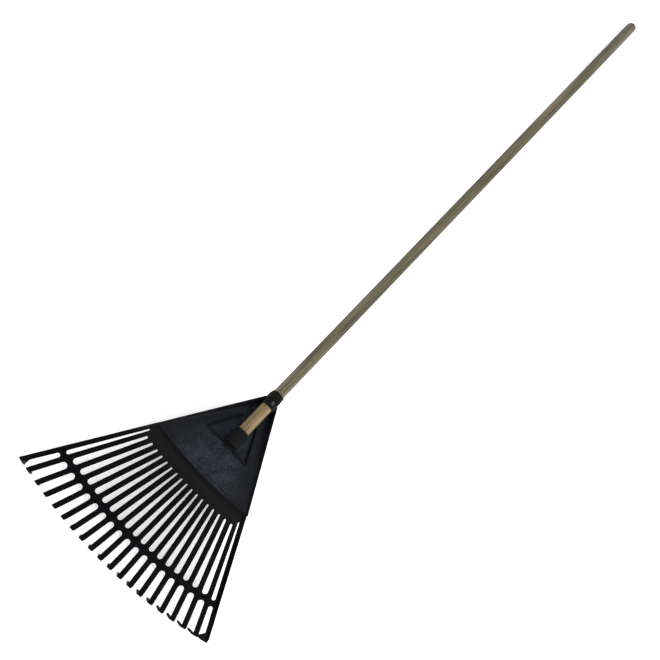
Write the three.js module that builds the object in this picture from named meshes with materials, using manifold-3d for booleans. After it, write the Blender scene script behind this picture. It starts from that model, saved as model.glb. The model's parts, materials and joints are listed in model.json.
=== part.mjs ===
// A plastic leaf rake on a timber handle.
//
// Units are millimetres. The head is drawn flat: its fan apex is at the origin, the handle runs along +Y
// above the plate, and the tines spread towards -Y. The whole rake is then tipped about X until the hook
// feet and the far end of the handle rest on the ground, hooks down, with the origin on the ground under
// the middle of the rake.

import * as THREE from 'three';
import { mergeVertices } from 'three/addons/utils/BufferGeometryUtils.js';
import Module from 'manifold-3d';

const wasm = await Module();
wasm.setup();

// ---------------------------------------------------------------- driving dimensions

const HANDLE_LENGTH = 1500;
const HANDLE_RADIUS = 12.5;
const HANDLE_AXIS_HEIGHT = 21.5;    // above the middle of the plate
const HANDLE_DOME = 11;             // length of the rounded grip end
const HANDLE_CHAMFER = 1.5;
const GAP = 0.3;                    // clearance between neighbouring solids

const TINE_COUNT = 20;
const TINE_PITCH = THREE.MathUtils.degToRad(3.17);
const TINE_WIDTH = 10.8;
const TINE_THICKNESS = 4.4;
const OUTER_EDGE = -0.2;            // from the line of an outer tine out to the side edge of the fan
const OUTER_TINE_WIDTH = 7.4;
const OUTER_SLOT_EXTRA = 13;        // the outermost slots reach this much nearer the apex
const OUTER_SLOT_WIDTH = 3;

// Every curved line of the fan is an arc about one centre, set back behind the apex.
const ARC_SETBACK = 660;
const STEP_REACH = 237;             // apex to the step in the plate, along the middle of the fan
const ROOT_REACH = 265.5;           // to the closed ends of the slots
const BAR_INNER_REACH = 406;
const BAR_OUTER_REACH = 417.5;
const TIP_REACH = 484;              // to the outside of the hooks
const BEND_REACH = 232;             // straight line about which the fan droops and flexes
const BEND_GAP = 0.8;               // room for the fan to flex beside the plate

const DROOP = THREE.MathUtils.degToRad(9.8);
const STEP_DROP = 8.5;              // the fan starts this far below the plate
const HOOK_DEPTH = 25;              // below the fan on the middle tines
const HOOK_RADIUS = 9;              // outside of the bend
const HOOK_LEAN = 0.6;
const HOOK_CURL = 1.4;
const HOOK_CURL_HEIGHT = 9;
const HOOK_NECK_THICKNESS = 3.7;    // where the curl starts
const HOOK_TWIST = 13;              // how far the outermost feet turn towards the middle of the fan
const HOOK_TIP_WIDTH = 4.6;
const HOOK_TIP_THICKNESS = 2.8;
const WEB_LENGTH = 16;              // the web inside the bend of an outer hook
const WEB_DEPTH = 15;

const PLATE_THICKNESS = 3.2;
const PLATE_TOP_REACH = 14;         // from the apex to the narrow end of the plate
const PLATE_TOP_HALF = 11.5;
const NECK_REACH = 52;              // where the flat of the plate starts to widen
const WING_REACH = 36;              // where the raised sides end beside the collar
const WING_HEIGHT = 16.5;           // the raised sides there, above the middle of the plate
const WING_INSET = 2;               // how far the raised sides stand in from the line of the fan's side
const FLANK_THICKNESS = 2.6;
const FLANK_FOOT_SET_IN = 16;       // how far a raised side stops short of the step
const RIM_THICKNESS = 3.6;
const RIM_HEIGHT = 7.5;
const FAN_RIM_HEIGHT = 4.8;         // above the middle of the fan, at its root
const RIM_HEIGHT_AT_BAR = 4.4;
const RIM_HEIGHT_AT_TIP = 3.6;
const RIM_SET_IN = 1.5;             // how far a fan rim stops short of each end of its piece

const SOCKET_WALL = 3;
const SOCKET_CLEARANCE = 0.4;
const COLLAR_START = 14.5;          // distances down from the apex
const COLLAR_END = 50;
const COLLAR_LIP_WALL = 1.7;
const CUP_MOUTH = 120.5;
const CUP_END = 156.5;
const CUP_FLOOR = 3.2;
const CUP_CHAMFER = 1;
const CUTTER_OVERRUN = 1;           // how far a cutter runs past the face that it opens
const SADDLE_WIDTH = 22;
const SADDLE_SET_IN = 6;            // from the collar's upper lip to its saddle

const RIB_THICKNESS = 3.6;
const RIB_HEIGHT = 7;
const RIB_CORNER_X = 56;
const RIB_CORNER_REACH = 158.7;
const RIB_TOP_X = 20;
const RIB_TOP_REACH = 91;
const STEP_WALL = 3;
const STEP_LIP = 1.4;               // how far the step's wall stands above the plate

const SCREW_REACH = 40;
const SCREW_HEAD_RADIUS = 4;
const SCREW_HEAD_HEIGHT = 2.6;
const SCREW_SHANK_RADIUS = 1.8;
const SCREW_POINT_LENGTH = 4;
const SCREW_DEPTH = 12;             // into the timber

const ROUND_SEGMENTS = 32;
const ARC_STEPS = 38;
const BEND_STEPS = 6;

const PLASTIC = new THREE.MeshStandardMaterial({ color: 0x2b2f38, roughness: 0.55, metalness: 0 });
const DARK_PLASTIC = new THREE.MeshStandardMaterial({ color: 0x15161a, roughness: 0.5, metalness: 0 });
const TIMBER = new THREE.MeshStandardMaterial({ color: 0x8a7760, roughness: 0.75, metalness: 0 });
const ZINC = new THREE.MeshStandardMaterial({ color: 0x9aa0a8, roughness: 0.35, metalness: 1 });

// ---------------------------------------------------------------- solids

/** A three.js geometry as a manifold solid, with shared corners merged and flat triangles dropped. */
function toSolid(geometry) {
  const bare = geometry.clone();
  bare.deleteAttribute('normal');
  bare.deleteAttribute('uv');
  const merged = mergeVertices(bare, 1e-4);
  const corners = merged.index.array;
  const kept = [];
  for (let i = 0; i < corners.length; i += 3) {
    const [a, b, c] = corners.subarray(i, i + 3);
    if (a !== b && b !== c && c !== a) kept.push(a, b, c);
  }
  const vertProperties = new Float32Array(merged.attributes.position.array);
  return new wasm.Manifold(new wasm.Mesh({ numProp: 3, vertProperties, triVerts: new Uint32Array(kept) }));
}

/** A manifold solid as a three.js geometry. */
function toGeometry(solid) {
  const mesh = solid.getMesh();
  const geometry = new THREE.BufferGeometry();
  geometry.setAttribute('position', new THREE.BufferAttribute(new Float32Array(mesh.vertProperties), 3));
  geometry.setIndex(new THREE.BufferAttribute(new Uint32Array(mesh.triVerts), 1));
  geometry.computeVertexNormals();
  return geometry;
}

/** A flat outline given thickness about its own plane. */
function slab(points, thickness) {
  const options = { depth: thickness, bevelEnabled: false };
  const geometry = new THREE.ExtrudeGeometry(new THREE.Shape(points), options);
  return geometry.translate(0, 0, -thickness / 2);
}

/** A round solid about +Y from a profile of [radius, height along Y] pairs, listed from low to high Y. */
function turned(profile) {
  return new THREE.LatheGeometry(profile.map(([r, y]) => new THREE.Vector2(r, y)), ROUND_SEGMENTS);
}

function numbered(name, number) {
  return `${name}_${String(number).padStart(2, '0')}`;
}

function named(name, geometry, material) {
  const mesh = new THREE.Mesh(geometry, material);
  mesh.name = name;
  return mesh;
}

// ---------------------------------------------------------------- fan layout

/** Angle of a tine's centre line from -Y, for tines numbered 1 to TINE_COUNT from the -X side. */
function tineAngle(number) {
  return (number - (TINE_COUNT + 1) / 2) * TINE_PITCH;
}

/** Distance along a ray at an angle and sideways offset to the arc that crosses the middle at reach. */
function rayToArc(angle, offset, reach) {
  const toCentre = ARC_SETBACK * Math.cos(angle);
  const aside = offset - ARC_SETBACK * Math.sin(angle);
  return Math.sqrt((reach + ARC_SETBACK) ** 2 - aside ** 2) - toCentre;
}

/** The point of the fan plane at a distance along a ray and a sideways offset from it. */
function fanPoint(angle, offset, distance) {
  const x = distance * Math.sin(angle) + offset * Math.cos(angle);
  const y = -distance * Math.cos(angle) + offset * Math.sin(angle);
  return new THREE.Vector2(x, y);
}

function arcPoint(angle, offset, reach) {
  return fanPoint(angle, offset, rayToArc(angle, offset, reach));
}

/** Points along an arc from one side edge of the head to the other, the edges drawn in by inset. */
function arcAcross(reach, inset = 0) {
  const edge = OUTER_EDGE - inset;
  const first = tineAngle(1);
  const end = arcPoint(-first, edge, reach);
  const points = [arcPoint(first, -edge, reach)];
  for (let i = 1; i < ARC_STEPS; i += 1) {
    const point = arcPoint(first * (1 - (2 * i) / ARC_STEPS), 0, reach);
    if (Math.abs(point.x) < end.x - GAP) points.push(point);
  }
  points.push(end);
  return points;
}

/** A band of the fan between two arcs. */
function arcBand(innerReach, outerReach, thickness, inset = 0) {
  return slab([...arcAcross(outerReach, inset), ...arcAcross(innerReach, inset).reverse()], thickness);
}

/** How far an arc slants across a ray: distance along it per unit of sideways offset. */
function arcSlant(angle, reach) {
  const half = TINE_WIDTH / 2;
  return (rayToArc(angle, half, reach) - rayToArc(angle, -half, reach)) / TINE_WIDTH;
}

/** Turns a mesh drawn with x along its tine, y up and z across it to lie on its own tine. */
function layAlong(mesh, angle) {
  const along = new THREE.Vector3(Math.sin(angle), -Math.cos(angle), 0);
  const up = new THREE.Vector3(0, 0, 1);
  const across = new THREE.Vector3().crossVectors(along, up);
  mesh.quaternion.setFromRotationMatrix(new THREE.Matrix4().makeBasis(along, up, across));
  return mesh;
}

/** Which way the side edge of the head lies from a tine, along the across direction of layAlong. */
function outerSide(number) {
  if (number === 1) return 1;
  return number === TINE_COUNT ? -1 : 0;
}

/** The lowest and highest across position of a tine: the two outer tines are narrower. */
function acrossRange(number) {
  const half = TINE_WIDTH / 2;
  const side = outerSide(number);
  const innerEdge = OUTER_TINE_WIDTH - OUTER_EDGE;
  if (side === 0) return [-half, half];
  return side > 0 ? [-innerEdge, OUTER_EDGE] : [-OUTER_EDGE, innerEdge];
}

/** A rim along the side edge of an outer tine, between two distances from the apex. */
function rimWall(number, start, end, startHeight, endHeight) {
  const outline = [
    new THREE.Vector2(start, 0),
    new THREE.Vector2(end, 0),
    new THREE.Vector2(end, endHeight),
    new THREE.Vector2(start, startHeight),
  ];
  const wall = slab(outline, RIM_THICKNESS);
  return wall.translate(0, 0, outerSide(number) * (OUTER_EDGE - RIM_THICKNESS / 2));
}

// ---------------------------------------------------------------- handle and socket

const handleFoot = -(CUP_END - CUP_FLOOR - GAP);
const collarRadius = HANDLE_RADIUS + SOCKET_CLEARANCE + SOCKET_WALL;
const boreRadius = HANDLE_RADIUS + SOCKET_CLEARANCE;

/** A round cutter for the screw, across the handle axis and upwards from a height above that axis. */
function screwCutter(radius, from, to) {
  const cutter = new THREE.CylinderGeometry(radius, radius, to - from, ROUND_SEGMENTS / 2);
  cutter.rotateX(Math.PI / 2).translate(0, -SCREW_REACH, (from + to) / 2);
  return toSolid(cutter);
}

function handle() {
  const end = handleFoot + HANDLE_LENGTH;
  const domeSteps = 6;
  const profile = [[0, handleFoot], [HANDLE_RADIUS - HANDLE_CHAMFER, handleFoot],
    [HANDLE_RADIUS, handleFoot + HANDLE_CHAMFER]];
  for (let i = 0; i <= domeSteps; i += 1) {
    const turn = (i / domeSteps) * (Math.PI / 2);
    const radius = i === domeSteps ? 0 : HANDLE_RADIUS * Math.cos(turn);
    profile.push([radius, end - HANDLE_DOME + HANDLE_DOME * Math.sin(turn)]);
  }
  const pilot = screwCutter(SCREW_SHANK_RADIUS + GAP, HANDLE_RADIUS - SCREW_DEPTH - GAP, HANDLE_RADIUS + GAP);
  const mesh = named('handle', toGeometry(toSolid(turned(profile)).subtract(pilot)), TIMBER);
  mesh.position.z = HANDLE_AXIS_HEIGHT;
  return mesh;
}

/** The block that carries a round socket on the plate, cut from the plate's top up to the handle's axis. */
function saddle(start, end) {
  const low = PLATE_THICKNESS / 2 + GAP - HANDLE_AXIS_HEIGHT;
  const block = new THREE.BoxGeometry(SADDLE_WIDTH, end - start, -low);
  return toSolid(block.translate(0, -(start + end) / 2, low / 2));
}

function socketCollar() {
  const lipRadius = boreRadius + COLLAR_LIP_WALL;
  const sleeve = toSolid(turned([[0, -COLLAR_END], [collarRadius, -COLLAR_END], [lipRadius, -COLLAR_START],
    [0, -COLLAR_START]]));
  const low = -COLLAR_END - CUTTER_OVERRUN;
  const high = -COLLAR_START + CUTTER_OVERRUN;
  const bore = toSolid(turned([[0, low], [boreRadius, low], [boreRadius, high], [0, high]]));
  const screwHole = screwCutter(SCREW_SHANK_RADIUS + GAP, HANDLE_RADIUS, collarRadius + CUTTER_OVERRUN);
  const block = saddle(COLLAR_START + SADDLE_SET_IN, COLLAR_END);
  const solid = sleeve.add(block).subtract(bore).subtract(screwHole);
  const mesh = named('socket_collar', toGeometry(solid), DARK_PLASTIC);
  mesh.position.z = HANDLE_AXIS_HEIGHT;
  return mesh;
}

function socketCup() {
  const outside = toSolid(turned([[0, -CUP_END], [collarRadius - CUP_CHAMFER, -CUP_END],
    [collarRadius, -CUP_END + CUP_CHAMFER], [collarRadius, -CUP_MOUTH], [0, -CUP_MOUTH]]));
  const floor = -CUP_END + CUP_FLOOR;
  const high = -CUP_MOUTH + CUTTER_OVERRUN;
  const bore = toSolid(turned([[0, floor], [boreRadius, floor], [boreRadius, high], [0, high]]));
  const solid = outside.add(saddle(CUP_MOUTH, CUP_END)).subtract(bore);
  const mesh = named('socket_cup', toGeometry(solid), DARK_PLASTIC);
  mesh.position.z = HANDLE_AXIS_HEIGHT;
  return mesh;
}

function fixingScrew() {
  const seat = collarRadius + GAP;
  const tip = HANDLE_RADIUS - SCREW_DEPTH;
  const profile = [[0, tip], [SCREW_SHANK_RADIUS, tip + SCREW_POINT_LENGTH], [SCREW_SHANK_RADIUS, seat],
    [SCREW_HEAD_RADIUS, seat], [SCREW_HEAD_RADIUS, seat + SCREW_HEAD_HEIGHT / 2],
    [SCREW_HEAD_RADIUS / 2, seat + SCREW_HEAD_HEIGHT], [0, seat + SCREW_HEAD_HEIGHT]];
  const mesh = named('fixing_screw', turned(profile).rotateX(Math.PI / 2), ZINC);
  mesh.position.set(0, -SCREW_REACH, HANDLE_AXIS_HEIGHT);
  return mesh;
}

// ---------------------------------------------------------------- plate

/** Ends of the raised side's rim on the +X side, on its middle line: beside the collar, and at the step. */
function sideEdge() {
  const last = tineAngle(TINE_COUNT);
  const inset = WING_INSET + RIM_THICKNESS / 2;
  const wing = fanPoint(last, -inset, WING_REACH / Math.cos(last));
  const foot = arcPoint(last, OUTER_EDGE - RIM_THICKNESS / 2, STEP_REACH - BEND_GAP / 2);
  return { wing: new THREE.Vector3(wing.x, wing.y, WING_HEIGHT), foot: new THREE.Vector3(foot.x, foot.y, 0) };
}

function mirrored(point) {
  const copy = point.clone();
  copy.x = -copy.x;
  return copy;
}

/** The flat middle of the plate, which widens from the neck to the step. */
function headPlate() {
  const arc = arcAcross(STEP_REACH - STEP_WALL - GAP, RIM_THICKNESS + FLANK_THICKNESS);
  const neck = new THREE.Vector2(PLATE_TOP_HALF, -NECK_REACH);
  const top = new THREE.Vector2(PLATE_TOP_HALF, -PLATE_TOP_REACH);
  const outline = [...arc, neck, top, mirrored(top), mirrored(neck)];
  return named('head_plate', slab(outline, PLATE_THICKNESS), PLASTIC);
}

/** The raised sides: thin triangles that climb from the flat of the plate to the side edge. */
function flanks() {
  const { wing, foot } = sideEdge();
  const neck = new THREE.Vector3(PLATE_TOP_HALF + FLANK_THICKNESS, -NECK_REACH, 0);
  const along = new THREE.Vector3().subVectors(wing, foot).normalize();
  const normal = new THREE.Vector3().subVectors(neck, foot).cross(along).normalize();
  const across = new THREE.Vector3().crossVectors(normal, along);
  const flat = (point) => {
    const offset = new THREE.Vector3().subVectors(point, foot);
    return new THREE.Vector2(offset.dot(along), offset.dot(across));
  };
  const edge = RIM_THICKNESS + GAP + FLANK_THICKNESS / 2;
  const corner = flat(neck);
  const lift = new THREE.Vector2(0, Math.sign(corner.y) * edge);
  const outline = [flat(foot).add(lift).setX(FLANK_FOOT_SET_IN), flat(wing).add(lift), corner];
  const basis = new THREE.Matrix4().makeBasis(along, across, normal).setPosition(foot);
  const right = toSolid(slab(outline, FLANK_THICKNESS).applyMatrix4(basis));
  return [
    named('flank_left', toGeometry(right.mirror([1, 0, 0])), PLASTIC),
    named('flank_right', toGeometry(right), PLASTIC),
  ];
}

/** An upright wall whose underside starts at two points, its middle on the line between them. */
function wallBetween(name, from, to, thickness, height) {
  const run = new THREE.Vector3().subVectors(to, from);
  const along = run.clone().normalize();
  const across = new THREE.Vector3(0, 0, 1).cross(along).normalize();
  const up = new THREE.Vector3().crossVectors(along, across);
  const mesh = named(name, new THREE.BoxGeometry(run.length(), thickness, height), DARK_PLASTIC);
  mesh.quaternion.setFromRotationMatrix(new THREE.Matrix4().makeBasis(along, across, up));
  mesh.position.addVectors(from, to).divideScalar(2).addScaledVector(up, height / 2);
  return mesh;
}

function plateRims() {
  const { wing, foot } = sideEdge();
  const sink = new THREE.Vector3(0, 0, -PLATE_THICKNESS / 2);
  const upper = wing.add(sink);
  const lower = foot.add(sink);
  return [
    wallBetween('rim_left', mirrored(upper), mirrored(lower), RIM_THICKNESS, RIM_HEIGHT),
    wallBetween('rim_right', upper, lower, RIM_THICKNESS, RIM_HEIGHT),
  ];
}

function triangleRibs() {
  const base = PLATE_THICKNESS / 2 + GAP;
  const corner = new THREE.Vector3(RIB_CORNER_X, -RIB_CORNER_REACH, base);
  const top = new THREE.Vector3(RIB_TOP_X, -RIB_TOP_REACH, base);
  const foot = new THREE.Vector3().subVectors(top, corner).setLength(RIB_THICKNESS).add(corner);
  return [
    wallBetween('rib_base', mirrored(corner), corner, RIB_THICKNESS, RIB_HEIGHT),
    wallBetween('rib_left', mirrored(foot), mirrored(top), RIB_THICKNESS, RIB_HEIGHT),
    wallBetween('rib_right', foot, top, RIB_THICKNESS, RIB_HEIGHT),
  ];
}

/** The curved wall that steps down from the plate to the fan. */
function stepWall() {
  const top = PLATE_THICKNESS / 2 + STEP_LIP;
  const bottom = -STEP_DROP - TINE_THICKNESS / 2;
  const wall = arcBand(STEP_REACH - STEP_WALL, STEP_REACH, top - bottom, 2 * RIM_THICKNESS);
  const mesh = named('step_wall', wall, DARK_PLASTIC);
  mesh.position.z = (top + bottom) / 2;
  return mesh;
}

// ---------------------------------------------------------------- fan

const lastAngle = tineAngle(TINE_COUNT);
const middleTipY = -TIP_REACH;
const handleEndY = handleFoot + HANDLE_LENGTH - HANDLE_DOME;

/** Height of a fan-plane point above the plate's middle plane, before the rake is tipped. */
function drooped(y, z) {
  const out = y + BEND_REACH;
  return {
    y: -BEND_REACH + out * Math.cos(DROOP) - z * Math.sin(DROOP),
    z: -STEP_DROP + out * Math.sin(DROOP) + z * Math.cos(DROOP),
  };
}

const middleFoot = drooped(middleTipY, -HOOK_DEPTH);
const handleLow = HANDLE_AXIS_HEIGHT - HANDLE_RADIUS;
const LIE = Math.atan2(handleLow - middleFoot.z, handleEndY - middleFoot.y);
const fanSlope = DROOP - LIE;

/** Hooks are cut so that all feet meet the ground together, though the tip line is curved. */
function hookDepth(angle) {
  const y = -rayToArc(angle, 0, TIP_REACH) * Math.cos(angle);
  return HOOK_DEPTH + (y - middleTipY) * Math.tan(fanSlope);
}

/** How far a hook's foot turns towards the middle of the fan: next to nothing but on the outer tines. */
function hookTwist(angle) {
  return Math.sign(angle) * HOOK_TWIST * (angle / lastAngle) ** 2;
}

/** A cutter for the start of the slot beside an outer tine, which runs up into the root band. */
function outerSlot(number) {
  const angle = tineAngle(number) * (1 - 1 / (TINE_COUNT - 1));
  const length = 2 * OUTER_SLOT_EXTRA;
  const cutter = new THREE.Mesh(new THREE.BoxGeometry(length, 2 * TINE_THICKNESS, OUTER_SLOT_WIDTH));
  layAlong(cutter, angle);
  const middle = fanPoint(angle, 0, rayToArc(angle, 0, ROOT_REACH) + length / 2 - OUTER_SLOT_EXTRA);
  cutter.position.set(middle.x, middle.y, 0);
  cutter.updateMatrix();
  return toSolid(cutter.geometry.applyMatrix4(cutter.matrix));
}

/** The solid band of the fan between the step and the slots, with its two rims. */
function rootBand() {
  const start = STEP_REACH + BEND_GAP;
  let band = toSolid(arcBand(start, ROOT_REACH, TINE_THICKNESS));
  for (const number of [1, TINE_COUNT]) {
    const [from, to] = rimSpan(number, start + BEND_GAP, ROOT_REACH);
    const wall = rimWall(number, from, to, FAN_RIM_HEIGHT, FAN_RIM_HEIGHT);
    const rim = layAlong(new THREE.Mesh(wall), tineAngle(number));
    rim.updateMatrix();
    band = band.add(toSolid(rim.geometry.applyMatrix4(rim.matrix))).subtract(outerSlot(number));
  }
  return named('root_band', toGeometry(band), DARK_PLASTIC);
}

function crossbar() {
  return named('crossbar', arcBand(BAR_INNER_REACH, BAR_OUTER_REACH, TINE_THICKNESS), DARK_PLASTIC);
}

/** Where a rim starts and stops along an outer tine, inside a piece between two arcs. */
function rimSpan(number, startReach, endReach) {
  const angle = tineAngle(number);
  const side = -outerSide(number) * OUTER_EDGE;
  return [rayToArc(angle, side, startReach) + RIM_SET_IN, rayToArc(angle, side, endReach) - RIM_SET_IN];
}

/** A tine's stretch between the plate and the crossbar, with a rim on the two outer ones. */
function innerTine(number) {
  const angle = tineAngle(number);
  const [low, high] = acrossRange(number);
  const start = ROOT_REACH + GAP;
  const end = BAR_INNER_REACH - GAP;
  const corner = (across, reach) => new THREE.Vector2(rayToArc(angle, -across, reach), across);
  const outline = [corner(low, start), corner(low, end), corner(high, end), corner(high, start)];
  let solid = toSolid(slab(outline, TINE_THICKNESS).rotateX(Math.PI / 2));
  if (outerSide(number) !== 0) {
    const [from, to] = rimSpan(number, start, end);
    solid = solid.add(toSolid(rimWall(number, from, to, FAN_RIM_HEIGHT, RIM_HEIGHT_AT_BAR)));
  }
  return layAlong(named(numbered('inner_tine', number), toGeometry(solid), DARK_PLASTIC), angle);
}

/** Side view of a free tine: straight, bent down round the hook radius, then in to a narrow foot. */
function hookOutline(start, end, depth, webbed) {
  const half = TINE_THICKNESS / 2;
  const bendX = end - HOOK_RADIUS;
  const bendY = half - HOOK_RADIUS;
  const inner = HOOK_RADIUS - TINE_THICKNESS;
  const shape = new THREE.Shape();
  shape.moveTo(start, -half);
  if (webbed) {
    shape.lineTo(end - WEB_LENGTH, -half);
    shape.lineTo(end - TINE_THICKNESS, -WEB_DEPTH);
  } else {
    shape.lineTo(bendX, -half);
    shape.absarc(bendX, bendY, inner, Math.PI / 2, 0, true);
  }
  shape.lineTo(end - HOOK_LEAN - HOOK_NECK_THICKNESS, -depth + HOOK_CURL_HEIGHT);
  shape.lineTo(end - HOOK_LEAN - HOOK_CURL - HOOK_TIP_THICKNESS, -depth);
  shape.lineTo(end - HOOK_LEAN - HOOK_CURL, -depth);
  shape.lineTo(end - HOOK_LEAN, -depth + HOOK_CURL_HEIGHT);
  shape.lineTo(end, bendY);
  shape.absarc(bendX, bendY, HOOK_RADIUS, 0, Math.PI / 2, false);
  shape.lineTo(start, half);
  return shape;
}

/** A tine's free end beyond the crossbar with its hook, narrowing towards the foot. */
function tineTip(number) {
  const angle = tineAngle(number);
  const [low, high] = acrossRange(number);
  const outer = outerSide(number) !== 0;
  const start = rayToArc(angle, 0, BAR_OUTER_REACH) + BEND_GAP;
  const end = rayToArc(angle, 0, TIP_REACH);
  const depth = hookDepth(angle);
  const outline = hookOutline(start, end, depth, outer);
  const options = { depth: high - low, bevelEnabled: false, curveSegments: BEND_STEPS };
  const blank = new THREE.ExtrudeGeometry(outline, options);
  let solid = toSolid(blank.translate(0, 0, low));
  if (outer) {
    const rim = rimWall(number, start + RIM_SET_IN, end - HOOK_RADIUS, RIM_HEIGHT_AT_BAR, RIM_HEIGHT_AT_TIP);
    solid = solid.add(toSolid(rim));
  }
  const slant = arcSlant(angle, (BAR_OUTER_REACH + TIP_REACH) / 2);
  const bendStart = -TINE_THICKNESS / 2;
  const middle = (low + high) / 2;
  const twist = hookTwist(angle);
  const shaped = solid.warp((corner) => {
    const down = THREE.MathUtils.clamp((bendStart - corner[1]) / (depth + bendStart), 0, 1);
    const narrowing = THREE.MathUtils.lerp(1, HOOK_TIP_WIDTH / TINE_WIDTH, down);
    const across = middle + (corner[2] - middle) * narrowing;
    corner[0] -= slant * across;
    corner[2] = across + twist * down;
  });
  return layAlong(named(numbered('tine_tip', number), toGeometry(shaped), DARK_PLASTIC), angle);
}

// ---------------------------------------------------------------- the rake

const fan = new THREE.Group();
fan.add(rootBand(), crossbar());
for (let number = 1; number <= TINE_COUNT; number += 1) {
  fan.add(innerTine(number), tineTip(number));
}
for (const piece of fan.children) {
  piece.position.y += BEND_REACH;
}
fan.position.set(0, -BEND_REACH, -STEP_DROP);
fan.rotation.x = DROOP;

const rake = new THREE.Group();
rake.add(handle(), fixingScrew(), socketCollar(), socketCup(), headPlate());
rake.add(...flanks(), ...plateRims(), stepWall(), ...triangleRibs(), fan);
rake.rotation.x = -LIE;
rake.updateMatrixWorld(true);

const box = new THREE.Box3().setFromObject(rake, true);
rake.position.set(0, -(box.min.y + box.max.y) / 2, -box.min.z);
rake.updateMatrixWorld(true);

export default rake;
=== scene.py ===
"""A leaf rake: a moulded plastic head with sprung tines on a round timber handle.

The head is modelled flat in its own frame: the apex of the fan is at the origin, the handle runs along +Y
above the plate and the tines spread towards -Y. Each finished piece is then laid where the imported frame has
it. All lengths are in metres.
"""

from __future__ import annotations

import json
import logging
import math
from dataclasses import dataclass, field
from enum import Enum
from typing import Callable, Sequence

import bpy
from mathutils import Matrix, Vector


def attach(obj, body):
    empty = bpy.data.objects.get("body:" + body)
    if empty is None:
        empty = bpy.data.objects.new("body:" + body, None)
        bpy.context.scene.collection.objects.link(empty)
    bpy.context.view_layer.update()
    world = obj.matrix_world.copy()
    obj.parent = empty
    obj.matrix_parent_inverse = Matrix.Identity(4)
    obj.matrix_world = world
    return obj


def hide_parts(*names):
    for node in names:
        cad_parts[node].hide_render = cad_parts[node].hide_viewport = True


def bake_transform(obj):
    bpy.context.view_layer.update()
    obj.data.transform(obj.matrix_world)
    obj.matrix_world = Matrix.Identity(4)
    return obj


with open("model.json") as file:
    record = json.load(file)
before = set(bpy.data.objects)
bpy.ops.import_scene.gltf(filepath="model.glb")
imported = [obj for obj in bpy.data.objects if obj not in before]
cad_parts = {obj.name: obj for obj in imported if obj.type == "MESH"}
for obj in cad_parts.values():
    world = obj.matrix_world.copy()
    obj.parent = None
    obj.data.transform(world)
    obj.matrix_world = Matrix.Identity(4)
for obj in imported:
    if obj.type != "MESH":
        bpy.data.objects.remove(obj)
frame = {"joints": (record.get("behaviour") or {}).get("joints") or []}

LOG = logging.getLogger("leaf_rake")
RAKE_BODY = "rake_body"
AXIS_X = Vector((1.0, 0.0, 0.0))
AXIS_Y = Vector((0.0, 1.0, 0.0))
AXIS_Z = Vector((0.0, 0.0, 1.0))
MERGE = 1e-6  # corners nearer than this are one corner
SKIN_GRAIN = 0.0006  # face size on the moulded skins
ARC_SWEEP = math.radians(29.0)  # of the uncut arc bands about their centre
ARC_STEPS = 80
SHARP = math.radians(50.0)  # edges that turn further than this are rounded
FACING = 0.9  # a face normal's share of an axis, for a face that looks along it
MIRROR_X = Matrix.Diagonal((-1.0, 1.0, 1.0, 1.0))


# ---------------------------------------------------------------- layout of the head


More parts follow.
